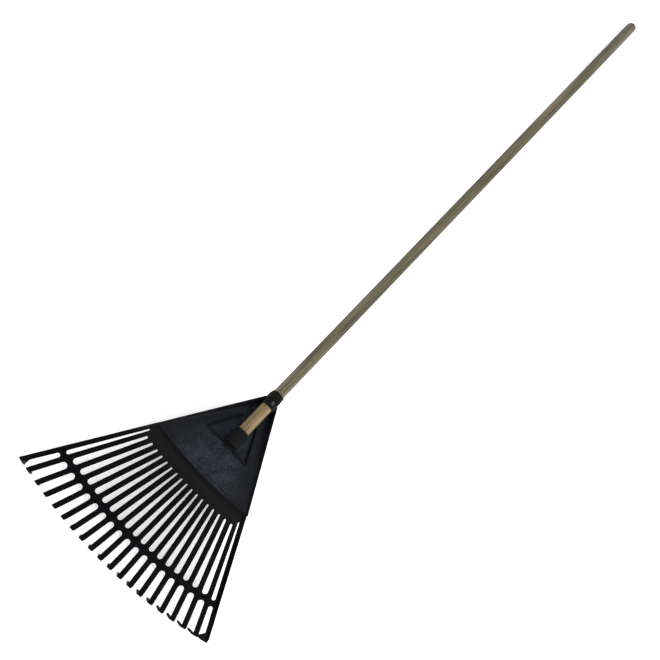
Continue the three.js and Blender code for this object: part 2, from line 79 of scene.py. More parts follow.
@dataclass(frozen=True)
class Layout:
    """Sizes that the pieces share, and where the tines and arcs of the fan lie.

    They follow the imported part, but for broader outer tines, taller side rims and a slightly shorter handle.
    """

    tine_count: int = 20
    tine_pitch: float = math.radians(3.17)
    tine_width: float = 0.0108
    tine_thickness: float = 0.0044
    outer_edge: float = -0.0002
    outer_tine_width: float = 0.0102
    first_tine_width: float = 0.0104
    outer_slot_extra: float = 0.013
    narrowest_slot: float = 0.003
    arc_setback: float = 0.660
    step_reach: float = 0.237
    root_reach: float = 0.2655
    bar_inner: float = 0.406
    bar_outer: float = 0.4175
    stub_length: float = 0.0072
    tip_reach: float = 0.484
    bend_reach: float = 0.232
    bend_gap: float = 0.0008
    droop: float = math.radians(9.8)
    step_drop: float = 0.0085
    hook_depth: float = 0.025
    plate_thickness: float = 0.0032
    rim_thickness: float = 0.0036
    rim_at_step: float = 0.0112
    rim_at_tip: float = 0.0060
    rim_into_collar: float = 0.005
    wing_reach: float = 0.036
    wing_height: float = 0.0165
    wing_inset: float = 0.002
    collar_start: float = 0.0145
    collar_end: float = 0.050
    cup_mouth: float = 0.1205
    cup_end: float = 0.1565
    cup_floor: float = 0.0032
    handle_radius: float = 0.0125
    handle_axis: float = 0.0215
    handle_length: float = 1.4999
    handle_dome: float = 0.011
    screw_reach: float = 0.040
    edge_round: float = 0.0007
    gap: float = 0.0003

    def angle(self, number: float) -> float:
        """The angle from -Y of a tine, for tines numbered from 1 on the -X side."""
        return (number - (self.tine_count + 1) / 2) * self.tine_pitch

    def last_angle(self) -> float:
        """The angle of the outermost tine on the +X side."""
        return self.angle(self.tine_count)

    def side(self, number: int) -> int:
        """Which side edge of the fan a tine stands on: -1, 1, or 0 for neither."""
        if number == 1:
            return -1
        return 1 if number == self.tine_count else 0

    def edges(self, number: int) -> tuple[float, float]:
        """Sideways offsets of a tine's -X and +X edges from its line.

        Args:
            number: The tine.

        Returns:
            The lower and the higher offset.
        """
        first = self.first_tine_width - self.outer_edge
        last = self.outer_tine_width - self.outer_edge
        ends = {-1: (-self.outer_edge, first), 1: (-last, self.outer_edge)}
        return ends.get(self.side(number), (-self.tine_width / 2, self.tine_width / 2))

    def point(self, angle: float, offset: float, distance: float) -> Vector:
        """A point of the fan plane at a distance along a ray and a sideways offset from it."""
        x = distance * math.sin(angle) + offset * math.cos(angle)
        y = -distance * math.cos(angle) + offset * math.sin(angle)
        return Vector((x, y, 0.0))

    def to_arc(self, angle: float, offset: float, reach: float) -> float:
        """Distance along a ray to the arc that crosses the middle of the fan at a reach."""
        aside = offset - self.arc_setback * math.sin(angle)
        from_centre = math.sqrt((reach + self.arc_setback) ** 2 - aside**2)
        return from_centre - self.arc_setback * math.cos(angle)

    def on_arc(self, angle: float, offset: float, reach: float) -> Vector:
        """The point where a ray meets an arc."""
        return self.point(angle, offset, self.to_arc(angle, offset, reach))

    def ray(self, angle: float) -> Matrix:
        """A frame with x along a ray, y across it towards +X, and z up."""
        return Matrix.Rotation(angle - math.pi / 2, 4, "Z")

    def stub_end(self, number: int) -> float:
        """Distance along a tine at which its free end starts."""
        return self.to_arc(self.angle(number), 0.0, self.bar_outer) + self.stub_length

    def rim_top(self, distance: float) -> float:
        """Height of the side rims of the fan at a distance along an outer tine."""
        share = (distance - self.step_reach) / (self.tip_reach - self.step_reach)
        return self.rim_at_step + (self.rim_at_tip - self.rim_at_step) * share

    def side_line(self) -> tuple[Vector, Vector]:
        """Middle line of the plate's rim on the +X side, from inside the collar's wall to the step.

        Returns:
            The upper and the lower end.
        """
        last = self.last_angle()
        half = self.rim_thickness / 2
        wing = self.point(last, -self.wing_inset - half, self.wing_reach / math.cos(last))
        wing.z = self.wing_height
        foot = self.on_arc(last, self.outer_edge - half, self.step_reach - self.bend_gap / 2)
        return wing + (wing - foot).normalized() * self.rim_into_collar, foot

    def handle_foot(self) -> float:
        """Distance down from the apex to the handle's lower end, inside the cup."""
        return self.cup_end - self.cup_floor - self.gap


HEAD = Layout()


@dataclass(frozen=True)
class Placement:
    """Where the head rests on the ground: the middle of its step, and how far the rake is tipped."""

    step: Vector
    lie: float

    @classmethod
    def from_joints(cls, joints: Sequence[dict]) -> "Placement":
        """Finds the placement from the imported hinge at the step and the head's own sizes.

        Args:
            joints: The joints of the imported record.

        Returns:
            The placement.
        """
        step = next(Vector(joint["pos_m"]) for joint in joints if joint["name"] == "fan_flex")
        foot = Vector((0.0, HEAD.bend_reach - HEAD.tip_reach, -HEAD.hook_depth))
        foot = Matrix.Rotation(HEAD.droop, 3, "X") @ foot
        foot += Vector((0.0, -HEAD.bend_reach, -HEAD.step_drop))
        grip = HEAD.handle_length - HEAD.handle_dome - HEAD.handle_foot()
        rise = HEAD.handle_axis - HEAD.handle_radius - foot.z
        return cls(step, math.atan2(rise, grip - foot.y))

    def head(self) -> Matrix:
        """From the head's own frame to the rake's frame."""
        back = Matrix.Translation((0.0, HEAD.bend_reach, HEAD.step_drop))
        return Matrix.Translation(self.step) @ Matrix.Rotation(-self.lie, 4, "X") @ back

    def fan(self) -> Matrix:
        """From the fan's own plane to the rake's frame."""
        back = Matrix.Translation((0.0, HEAD.bend_reach, 0.0))
        return Matrix.Translation(self.step) @ Matrix.Rotation(HEAD.droop - self.lie, 4, "X") @ back


# ---------------------------------------------------------------- modelling


def clear_selection() -> None:
    """Goes to object mode with nothing selected."""
    if bpy.context.object and bpy.context.object.mode != "OBJECT":
        bpy.ops.object.mode_set(mode="OBJECT")
    bpy.ops.object.select_all(action="DESELECT")


def activate(piece: bpy.types.Object) -> None:
    """Selects one piece alone and makes it the active one."""
    clear_selection()
    piece.select_set(True)
    bpy.context.view_layer.objects.active = piece


def edit_all(piece: bpy.types.Object) -> None:
    """Enters edit mode on a piece with all of it selected."""
    activate(piece)
    bpy.ops.object.mode_set(mode="EDIT")
    bpy.ops.mesh.select_all(action="SELECT")


def pick_faces(piece: bpy.types.Object, wanted: Callable[[bpy.types.MeshPolygon], bool]) -> None:
    """Enters edit mode with only the faces that pass a test selected."""
    edit_all(piece)
    bpy.ops.mesh.select_mode(type="FACE")
    bpy.ops.mesh.select_all(action="DESELECT")
    bpy.ops.object.mode_set(mode="OBJECT")
    for face in piece.data.polygons:
        face.select = wanted(face)
    bpy.ops.object.mode_set(mode="EDIT")


def pick_edges(piece: bpy.types.Object, wanted: Callable[[Vector, Vector], bool]) -> None:
    """Enters edit mode with only the edges whose two ends pass a test selected."""
    edit_all(piece)
    bpy.ops.mesh.select_mode(type="EDGE")
    bpy.ops.mesh.select_all(action="DESELECT")
    bpy.ops.object.mode_set(mode="OBJECT")
    corners = piece.data.vertices
    for edge in piece.data.edges:
        first, second = edge.vertices
        edge.select = wanted(corners[first].co, corners[second].co)
    bpy.ops.object.mode_set(mode="EDIT")


def close_up(piece: bpy.types.Object) -> None:
    """Merges doubled corners, turns the faces outward and goes back to object mode."""
    edit_all(piece)
    bpy.ops.mesh.remove_doubles(threshold=MERGE)
    bpy.ops.mesh.normals_make_consistent(inside=False)
    bpy.ops.object.mode_set(mode="OBJECT")


def block(name: str, size: Sequence[float], place: Matrix) -> bpy.types.Object:
    """A square blank, centred on its place and ready to be shaped.

    Args:
        name: Name of the blank.
        size: Length along each axis of its place.
        place: A turn and a position.

    Returns:
        The blank.
    """
    clear_selection()
    bpy.ops.mesh.primitive_cube_add(size=1.0)
    blank = bpy.context.object
    blank.name = name
    blank.matrix_world = place @ Matrix.Diagonal((*size, 1.0))
    bpy.ops.object.transform_apply(location=True, rotation=True, scale=True)
    return blank


def bar(name: str, start: Vector, end: Vector, width: float, height: float) -> bpy.types.Object:
    """A straight wall whose underside runs between two points.

    Args:
        name: Name of the wall.
        start: One end of the middle line of its underside.
        end: The other end.
        width: Thickness across the line.
        height: Height above the line.

    Returns:
        The wall.
    """
    along = (end - start).normalized()
    across = AXIS_Z.cross(along).normalized()
    up = along.cross(across)
    turn = Matrix((along, across, up)).transposed().to_4x4()
    middle = (start + end) / 2 + up * height / 2
    return block(name, ((end - start).length, width, height), Matrix.Translation(middle) @ turn)


def round_bar(name: str, radius: float, start: float, end: float, corners: int = 64) -> bpy.types.Object:
    """A round blank on the handle's axis between two distances down from the apex."""
    clear_selection()
    middle = Matrix.Translation((0.0, -(start + end) / 2, HEAD.handle_axis))
    bpy.ops.mesh.primitive_cylinder_add(vertices=corners, radius=radius, depth=end - start)
    blank = bpy.context.object
    blank.name = name
    blank.matrix_world = middle @ Matrix.Rotation(math.pi / 2, 4, "X")
    bpy.ops.object.transform_apply(location=True, rotation=True, scale=True)
    return blank


def join(pieces: Sequence[bpy.types.Object]) -> bpy.types.Object:
    """Joins pieces into the first of them."""
    activate(pieces[0])
    for piece in pieces:
        piece.select_set(True)
    if len(pieces) > 1:
        bpy.ops.object.join()
    return pieces[0]


def apply_modifier(piece: bpy.types.Object, kind: str, **values: object) -> None:
    """Gives a piece a modifier with the given values and applies it."""
    activate(piece)
    modifier = piece.modifiers.new(kind.lower(), kind)
    for key, value in values.items():
        setattr(modifier, key, value)
    bpy.ops.object.modifier_apply(modifier=modifier.name)


class Cut(Enum):
    """What one solid does to another."""

    AWAY = "DIFFERENCE"
    TOGETHER = "UNION"


def combine(piece: bpy.types.Object, other: bpy.types.Object, cut: Cut) -> None:
    """Cuts a second solid out of a piece, or runs it into the piece, and uses it up."""
    apply_modifier(piece, "BOOLEAN", object=other, operation=cut.value, solver="EXACT")
    bpy.data.objects.remove(other, do_unlink=True)


def soften(piece: bpy.types.Object, width: float, segments: int = 2) -> None:
    """Rounds the sharp edges of a piece."""
    values = {"width": width, "segments": segments, "limit_method": "ANGLE", "angle_limit": SHARP}
    apply_modifier(piece, "BEVEL", use_clamp_overlap=False, **values)


def mould(piece: bpy.types.Object, grain: float, rounds: int) -> None:
    """Runs overlapping solids into one skin with soft inside corners, as a moulding has.

    Args:
        piece: A piece of one or more overlapping closed solids.
        grain: Size of the new faces.
        rounds: How often the skin is relaxed.
    """
    apply_modifier(piece, "REMESH", mode="VOXEL", voxel_size=grain, use_smooth_shade=True)
    apply_modifier(piece, "SMOOTH", factor=0.5, iterations=rounds)


def slice_through(piece: bpy.types.Object, axis: Vector, places: Sequence[float]) -> None:
    """Gives a piece new edges right across it at places along an axis."""
    edit_all(piece)
    for place in places:
        bpy.ops.mesh.select_all(action="SELECT")
        bpy.ops.mesh.bisect(plane_co=axis * place, plane_no=axis, threshold=MERGE)
    bpy.ops.object.mode_set(mode="OBJECT")


def trim(piece: bpy.types.Object, place: Vector, outward: Vector) -> None:
    """Cuts off what lies beyond a plane and fills the cut.

    Args:
        piece: The piece to be trimmed.
        place: A point of the plane.
        outward: The plane's normal, towards what is cut off.
    """
    edit_all(piece)
    values = {"clear_outer": True, "use_fill": True, "threshold": MERGE}
    bpy.ops.mesh.bisect(plane_co=place, plane_no=outward, **values)
    bpy.ops.object.mode_set(mode="OBJECT")


def side_rim(start: Vector, end: Vector, tops: tuple[float, float]) -> bpy.types.Object:
    """A rim of the fan whose top slopes.

    Args:
        start: Middle of its underside at the end towards the step.
        end: Middle of its underside at the end towards the tips.
        tops: Its height at either end.

    Returns:
        The rim.
    """
    piece = bar("rim", start, end, HEAD.rim_thickness, max(tops))
    high, low = (place + AXIS_Z * top for place, top in zip((start, end), tops))
    slope = low - high
    trim(piece, high, slope.cross(AXIS_Z).cross(slope))
    return piece


def spaced(start: float, end: float, step: float) -> list[float]:
    """Evenly spaced places strictly between two ends."""
    count = max(1, round(abs(end - start) / step))
    return [start + (end - start) * i / count for i in range(1, count)]


def arc_band(
    name: str, inner: float, outer: float, low: float, high: float, inset: float
) -> bpy.types.Object:
    """A sheet between two arcs of the fan: a section swept about their centre, and trimmed at the sides.

    Args:
        name: Name of the sheet.
        inner: Reach of its inner arc.
        outer: Reach of its outer arc.
        low: Height of its underside.
        high: Height of its top.
        inset: How far its ends stand in from the side edges of the fan.

    Returns:
        The closed sheet.
    """
    centre = Vector((0.0, HEAD.arc_setback, 0.0))
    turn = Matrix.Rotation(-ARC_SWEEP / 2, 4, "Z")
    middle = Vector((0.0, -HEAD.arc_setback - (inner + outer) / 2, (low + high) / 2))
    place = Matrix.Translation(centre) @ turn @ Matrix.Translation(middle)
    sheet = block(name, (HEAD.gap, outer - inner, high - low), place)
    pick_faces(sheet, lambda face: face.normal.x > FACING)
    bpy.ops.mesh.spin(steps=ARC_STEPS, angle=-ARC_SWEEP, center=centre, axis=AXIS_Z)
    close_up(sheet)
    for side in (-1.0, 1.0):
        angle = side * HEAD.last_angle()
        edge = HEAD.point(angle, side * (HEAD.outer_edge - inset), outer)
        trim(sheet, edge, Vector((side * math.cos(angle), side * math.sin(angle), 0.0)))
    return sheet


def smooth(piece: bpy.types.Object, degrees: float = 40.0) -> None:
    """Shades a piece smooth wherever its edges are flatter than an angle."""
    activate(piece)
    bpy.ops.object.shade_smooth_by_angle(angle=math.radians(degrees))


# ---------------------------------------------------------------- finishes


class Slot(Enum):
    """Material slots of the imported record."""

    PLATE = "plate_plastic"
    TINE = "tine_plastic"
    TIMBER = "timber"
    SCREW = "zinc_screw"


class SocketKind(Enum):
    """Kinds of socket on a node group."""

    NUMBER = "NodeSocketFloat"
    COLOUR = "NodeSocketColor"
    VECTOR = "NodeSocketVector"


Colour = tuple[float, float, float, float]


class Shader:
    """The nodes of one material or node group, added and joined in plain steps."""

    def __init__(self, tree: bpy.types.NodeTree) -> None:
        """Keeps the tree that the nodes go in."""
        self.tree = tree

    def add(self, kind: str, inputs: dict | None = None, **settings: object) -> bpy.types.Node:
        """Adds a node, sets its own settings, and fills its inputs with values or links.

        Args:
            kind: The node's type name.
            inputs: Values or source sockets, by the input's name or number.
            **settings: Settings of the node itself.

        Returns:
            The new node.
        """
        node = self.tree.nodes.new(kind)
        for key, value in settings.items():
            setattr(node, key, value)
        for key, value in (inputs or {}).items():
            if isinstance(value, bpy.types.NodeSocket):
                self.tree.links.new(value, node.inputs[key])
            else:
                node.inputs[key].default_value = value
        return node

    def noise(self, vector: bpy.types.NodeSocket, scale: object, detail: float) -> bpy.types.NodeSocket:
        """Soft noise over a vector."""
        node = self.add("ShaderNodeTexNoise", {"Vector": vector, "Scale": scale, "Detail": detail})
        return node.outputs["Fac"]

    def spread(self, value: bpy.types.NodeSocket, low: float, high: float) -> bpy.types.NodeSocket:
        """A value stretched from a low and a high end onto 0 to 1, eased at both ends."""
        inputs = {"Value": value, "From Min": low, "From Max": high}
        node = self.add("ShaderNodeMapRange", inputs, interpolation_type="SMOOTHSTEP")
        return node.outputs["Result"]

    def mix(self, share: object, first: object, second: object) -> bpy.types.NodeSocket:
        """A colour between two others."""
        node = self.add("ShaderNodeMix", {0: share, 6: first, 7: second}, data_type="RGBA")
        return node.outputs[2]

    def sum(self, operation: str, first: object, second: object) -> bpy.types.NodeSocket:
        """One step of arithmetic on two values."""
        return self.add("ShaderNodeMath", {0: first, 1: second}, operation=operation).outputs[0]


def new_group(
    name: str, inputs: dict[str, SocketKind], outputs: dict[str, SocketKind]
) -> tuple[Shader, dict[str, bpy.types.NodeSocket]]:
    """Starts a shader node group with named sockets.

    Args:
        name: The group's name.
        inputs: Kinds of its inputs, by name.
        outputs: Kinds of its outputs, by name.

    Returns:
        The group's shader and its inputs as sockets, by name.
    """
    tree = bpy.data.node_groups.new(name, "ShaderNodeTree")
    for key, kind in inputs.items():
        tree.interface.new_socket(name=key, in_out="INPUT", socket_type=kind.value)
    for key, kind in outputs.items():
        tree.interface.new_socket(name=key, in_out="OUTPUT", socket_type=kind.value)
    shader = Shader(tree)
    entry = shader.add("NodeGroupInput")
    return shader, {key: entry.outputs[key] for key in inputs}


def moulded_skin_group() -> bpy.types.NodeTree:
    """Cloudy, speckled colour with a fine skin, as recycled plastic has when it leaves the mould."""
    number, colour = SocketKind.NUMBER, SocketKind.COLOUR
    inputs = {"Vector": SocketKind.VECTOR, "Patch Scale": number, "Roughness": number}
    inputs |= {"Dark": colour, "Base": colour, "Light": colour}
    outputs = {"Colour": colour, "Roughness": number, "Height": number}
    shader, given = new_group("moulded_skin", inputs, outputs)
    vector = given["Vector"]
    patches = shader.spread(shader.noise(vector, given["Patch Scale"], detail=5.0), low=0.36, high=0.64)
    fine = shader.sum("MULTIPLY", given["Patch Scale"], 9.0)
    specks = shader.spread(shader.noise(vector, fine, detail=3.0), low=0.48, high=0.74)
    cloudy = shader.mix(patches, given["Dark"], given["Base"])
    mottled = shader.mix(shader.sum("MULTIPLY", specks, 0.6), cloudy, given["Light"])
    rough = shader.sum("ADD", given["Roughness"], shader.sum("MULTIPLY", specks, 0.12))
    pitting = shader.noise(vector, scale=2600.0, detail=2.0)
    height = shader.sum("ADD", pitting, shader.sum("MULTIPLY", specks, 0.5))
    shader.add("NodeGroupOutput", {"Colour": mottled, "Roughness": rough, "Height": height})
    return shader.tree


def timber_grain_group() -> bpy.types.NodeTree:
    """Long timber grain along Y, with broad streaks of colour and thin dark pores."""
    number, colour = SocketKind.NUMBER, SocketKind.COLOUR
    inputs = {"Vector": SocketKind.VECTOR, "Dark": colour, "Base": colour, "Light": colour}
    outputs = {"Colour": colour, "Streak": number, "Height": number}
    shader, given = new_group("timber_grain", inputs, outputs)
    stretch = {"Vector": given["Vector"], "Scale": (1.0, 0.045, 1.0)}
    along = shader.add("ShaderNodeMapping", stretch).outputs["Vector"]
    streak = shader.spread(shader.noise(along, scale=170.0, detail=5.0), low=0.34, high=0.68)
    broad = shader.spread(shader.noise(along, scale=75.0, detail=2.0), low=0.45, high=0.7)
    pores = shader.spread(shader.noise(along, scale=900.0, detail=3.0), low=0.52, high=0.72)
    body = shader.mix(broad, shader.mix(streak, given["Dark"], given["Base"]), given["Light"])
    grained = shader.mix(shader.sum("MULTIPLY", pores, 0.5), body, given["Dark"])
    shader.add("NodeGroupOutput", {"Colour": grained, "Streak": streak, "Height": pores})
    return shader.tree


@dataclass
class Workshop:
    """Where materials are made: the shared node groups, and the head's frame that their patterns follow."""

    head: Matrix
    skin: bpy.types.NodeTree = field(default_factory=moulded_skin_group)
    grain: bpy.types.NodeTree = field(default_factory=timber_grain_group)

    def start(self, name: str) -> tuple[bpy.types.Material, Shader, bpy.types.NodeSocket]:
        """A bare material with coordinates in the head's own frame.

        Args:
            name: The material's name.

        Returns:
            The material, its shader and the coordinates.
        """
        material = bpy.data.materials.new(name)
        material.use_nodes = True
        material.node_tree.nodes.clear()
        shader = Shader(material.node_tree)
        back = self.head.inverted()
        source = shader.add("ShaderNodeTexCoord").outputs["Object"]
        values = {"Vector": source, "Location": back.translation, "Rotation": back.to_euler()}
        return material, shader, shader.add("ShaderNodeMapping", values).outputs["Vector"]

    def finish(self, shader: Shader, surface: dict, height: bpy.types.NodeSocket, depth: float) -> None:
        """Ends a material with its bump, surface and output.

        Args:
            shader: The material's shader.
            surface: Inputs of the surface.
            height: What the bump reads.
            depth: Depth of the bump.
        """
        bump = shader.add("ShaderNodeBump", {"Height": height, "Distance": depth})
        principled = shader.add("ShaderNodeBsdfPrincipled", {**surface, "Normal": bump.outputs["Normal"]})
        shader.add("ShaderNodeOutputMaterial", {"Surface": principled.outputs["BSDF"]})


@dataclass(frozen=True)
class MouldedPlastic:
    """A moulded plastic in three tones of one mottled skin.

    With a warm tone it is browner towards the step, and with a shade colour it is darker towards the plate's
    sides, which is painted shade.
    """

    name: str
    dark: Colour
    base: Colour
    light: Colour
    roughness: float
    patch_scale: float
    gloss: float = 0.1
    warm: Colour | None = None
    # painted shade: the colour mixed in towards the plate's sides, its share, and the slopes of |x| over y
    # where it starts and is full
    painted_shade: Colour | None = None
    warm_share: float = 0.7
    warm_blur: float = 0.02
    painted_shade_share: float = 0.85
    painted_shade_slopes: tuple[float, float] = (-0.18, -0.46)
    skin_depth: float = 0.00012

    def build(self, shop: Workshop) -> bpy.types.Material:
        """Makes the material."""
        material, shader, vector = shop.start(self.name)
        skin = shader.add("ShaderNodeGroup", node_tree=shop.skin)
        shader.tree.links.new(vector, skin.inputs["Vector"])
        values = {"Patch Scale": self.patch_scale, "Roughness": self.roughness}
        values |= {"Dark": self.dark, "Base": self.base, "Light": self.light}
        for key, value in values.items():
            skin.inputs[key].default_value = value
        colour = skin.outputs["Colour"]
        if self.warm:
            along = shader.add("ShaderNodeSeparateXYZ", {"Vector": vector}).outputs["Y"]
            near = shader.spread(along, -HEAD.root_reach - self.warm_blur, -HEAD.root_reach + self.warm_blur)
            colour = shader.mix(shader.sum("MULTIPLY", near, self.warm_share), colour, self.warm)
        # painted shade: the plate darkens towards its sides, by the slope of |x| over y
        if self.painted_shade:
            parts = shader.add("ShaderNodeSeparateXYZ", {"Vector": vector}).outputs
            slope = shader.sum("DIVIDE", shader.sum("ABSOLUTE", parts["X"], 0.0), parts["Y"])
            aside = shader.spread(slope, *self.painted_shade_slopes)
            colour = shader.mix(shader.sum("MULTIPLY", aside, self.painted_shade_share), colour, self.painted_shade)
        surface = {"Base Color": colour, "Roughness": skin.outputs["Roughness"]}
        surface["Specular IOR Level"] = self.gloss
        shop.finish(shader, surface, skin.outputs["Height"], self.skin_depth)
        return material


@dataclass(frozen=True)
class Timber:
    """Weathered timber that stays pale and raw below the collar, where the socket keeps the weather off."""

    worn: tuple[Colour, Colour, Colour] = (
        (0.0440, 0.0352, 0.0191, 1.0),
        (0.0915, 0.0792, 0.0448, 1.0),
        (0.1302, 0.1038, 0.0697, 1.0),
    )
    raw: tuple[Colour, Colour, Colour] = (
        (0.0570, 0.0343, 0.0122, 1.0),
        (0.1292, 0.0912, 0.0395, 1.0),
        (0.2204, 0.1643, 0.0874, 1.0),
    )
    roughness: float = 0.58
    gloss: float = 0.3
    grain_depth: float = 0.0003

    def tones(
        self, shop: Workshop, shader: Shader, vector: bpy.types.NodeSocket, tones: Sequence[Colour]
    ) -> bpy.types.Node:
        """The grain in one set of three tones."""
        node = shader.add("ShaderNodeGroup", node_tree=shop.grain)
        shader.tree.links.new(vector, node.inputs["Vector"])
        for key, tone in zip(("Dark", "Base", "Light"), tones):
            node.inputs[key].default_value = tone
        return node

    def build(self, shop: Workshop) -> bpy.types.Material:
        """Makes the material."""
        material, shader, vector = shop.start("handle_timber")
        worn = self.tones(shop, shader, vector, self.worn)
        raw = self.tones(shop, shader, vector, self.raw)
        along = shader.add("ShaderNodeSeparateXYZ", {"Vector": vector}).outputs["Y"]
        bare = shader.spread(along, -HEAD.collar_start, -HEAD.collar_end)
        colour = shader.mix(bare, worn.outputs["Colour"], raw.outputs["Colour"])
        rough = shader.sum("ADD", shader.sum("MULTIPLY", worn.outputs["Streak"], 0.12), self.roughness)
        surface = {"Base Color": colour, "Roughness": rough, "Specular IOR Level": self.gloss}
        shop.finish(shader, surface, worn.outputs["Height"], self.grain_depth)
        return material


@dataclass(frozen=True)
class Zinc:
    """Old zinc plating, dulled almost black."""

    base: Colour = (0.060, 0.066, 0.082, 1.0)
    dark: Colour = (0.022, 0.025, 0.032, 1.0)

    def build(self, shop: Workshop) -> bpy.types.Material:
        """Makes the material."""
        material, shader, vector = shop.start("zinc_plating")
        cloud = shader.spread(shader.noise(vector, scale=700.0, detail=4.0), low=0.35, high=0.65)
        colour = shader.mix(cloud, self.dark, self.base)
        rough = shader.sum("ADD", shader.sum("MULTIPLY", cloud, 0.2), 0.3)
        surface = {"Base Color": colour, "Roughness": rough, "Metallic": 1.0}
        shop.finish(shader, surface, shader.noise(vector, scale=3000.0, detail=2.0), depth=0.00005)
        return material


@dataclass
class Palette:
    """The finishes of the rake, each made once."""

    plate: bpy.types.Material
    tine: bpy.types.Material
    timber: bpy.types.Material
    zinc: bpy.types.Material

    @classmethod
    def mix(cls, shop: Workshop) -> "Palette":
        """Makes every finish."""
        slate = MouldedPlastic(
            "slate_plastic",
            dark=(0.0050, 0.0064, 0.0100, 1.0),
            base=(0.0110, 0.0134, 0.0203, 1.0),
            light=(0.0350, 0.0385, 0.0490, 1.0),
            roughness=0.48,
            patch_scale=42.0,
            gloss=0.06,
            # painted shade that the plate darkens to towards its sides
            painted_shade=(0.0030, 0.0034, 0.0046, 1.0),
        )
        black = MouldedPlastic(
            "black_plastic",
            dark=(0.0010, 0.0011, 0.0016, 1.0),
            base=(0.0016, 0.0017, 0.0023, 1.0),
            light=(0.0046, 0.0050, 0.0062, 1.0),
            roughness=0.46,
            patch_scale=120.0,
            gloss=0.02,
            warm=(0.0075, 0.0070, 0.0072, 1.0),
        )
        return cls(slate.build(shop), black.build(shop), Timber().build(shop), Zinc().build(shop))


# ---------------------------------------------------------------- the rake's sub-assemblies


@dataclass
class SubAssembly:
    """What every sub-assembly shares: where the rake lies, and the finishes."""

    place: Placement
    palette: Palette

    def lay(
        self, piece: bpy.types.Object, place: Matrix, slot: Slot, nodes: Sequence[str]
    ) -> bpy.types.Object:
        """Puts a finished piece in its place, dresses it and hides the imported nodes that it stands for.

        Args:
            piece: The piece, in the head's or the fan's own frame.
            place: From that frame to the rake's.
            slot: The record's slot for its finish.
            nodes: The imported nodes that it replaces.

        Returns:
            The piece.
        """
        piece.data.transform(place)
        piece.data.update()
        smooth(piece)
        finishes = {
            Slot.PLATE: self.palette.plate,
            Slot.TINE: self.palette.tine,
            Slot.TIMBER: self.palette.timber,
            Slot.SCREW: self.palette.zinc,
        }
        piece.data.materials.clear()
        piece.data.materials.append(finishes[slot])
        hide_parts(*nodes)
        LOG.info("%s: %d faces, stands for %d nodes", piece.name, len(piece.data.polygons), len(nodes))
        return piece


@dataclass
class Handle(SubAssembly):
    """The round timber handle and the screw that fixes it in the collar."""

    foot_round: float = 0.0015
    dome_steps: int = 8
    dome_turn: float = math.radians(87.0)
    screw_seat: float = 0.0377
    head_radius: float = 0.0040
    head_height: float = 0.0024
    shank_radius: float = 0.0018
    shank_length: float = 0.0150
    head_round: float = 0.0003
    recess_width: float = 0.0009
    recess_reach: float = 1.2
    recess_turn: float = 0.4

    def shaft(self) -> bpy.types.Object:
        """A turned shaft with a domed grip end."""
        grip = HEAD.handle_length - HEAD.handle_foot() - HEAD.handle_dome
        piece = round_bar("handle_shaft", HEAD.handle_radius, -grip, HEAD.handle_foot())
        soften(piece, self.foot_round)
        straight = 2 * self.foot_round
        trim(piece, AXIS_Y * (grip - straight), AXIS_Y)
        pick_faces(piece, lambda face: face.normal.y > FACING)
        bpy.ops.mesh.extrude_region_move(TRANSFORM_OT_translate={"value": (0.0, straight, 0.0)})
        centre = Vector((0.0, grip, HEAD.handle_axis))
        height, radius = 0.0, 1.0
        for i in range(1, self.dome_steps + 1):
            turn = self.dome_turn * i / self.dome_steps
            rise, size = HEAD.handle_dome * math.sin(turn), math.cos(turn)
            bpy.ops.mesh.extrude_region_move(TRANSFORM_OT_translate={"value": (0.0, rise - height, 0.0)})
            ratio = size / radius
            bpy.ops.transform.resize(value=(ratio, 1.0, ratio), center_override=centre)
            height, radius = rise, size
        close_up(piece)
        return piece

    def screw(self) -> bpy.types.Object:
        """A pan-head screw with a cross recess and a plain shank."""
        centre = Vector((0.0, -HEAD.screw_reach, self.screw_seat))
        clear_selection()
        middle = centre + AXIS_Z * self.head_height / 2
        sizes = {"vertices": 32, "radius": self.head_radius, "depth": self.head_height}
        bpy.ops.mesh.primitive_cylinder_add(location=middle, **sizes)
        piece = bpy.context.object
        piece.name = "screw"
        bpy.ops.object.transform_apply(location=True, rotation=True, scale=True)
        size = (self.head_radius * self.recess_reach, self.recess_width, self.head_height)
        for turn in (self.recess_turn, self.recess_turn + math.pi / 2):
            place = Matrix.Translation(centre + AXIS_Z * self.head_height) @ Matrix.Rotation(turn, 4, "Z")
            combine(piece, block("groove", size, place), Cut.AWAY)
        soften(piece, self.head_round)
        pick_faces(piece, lambda face: face.normal.z < -FACING)
        ratio = self.shank_radius / self.head_radius
        bpy.ops.mesh.extrude_region_move(TRANSFORM_OT_translate={"value": (0.0, 0.0, 0.0)})
        bpy.ops.transform.resize(value=(ratio, ratio, 1.0), center_override=centre)
        bpy.ops.mesh.extrude_region_move(TRANSFORM_OT_translate={"value": (0.0, 0.0, -self.shank_length)})
        close_up(piece)
        return piece

    def build(self) -> None:
        """Builds and dresses the handle and its screw."""
        place = self.place.head()
        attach(self.lay(self.shaft(), place, Slot.TIMBER, ["handle"]), RAKE_BODY)
        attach(self.lay(self.screw(), place, Slot.SCREW, ["fixing_screw"]), RAKE_BODY)


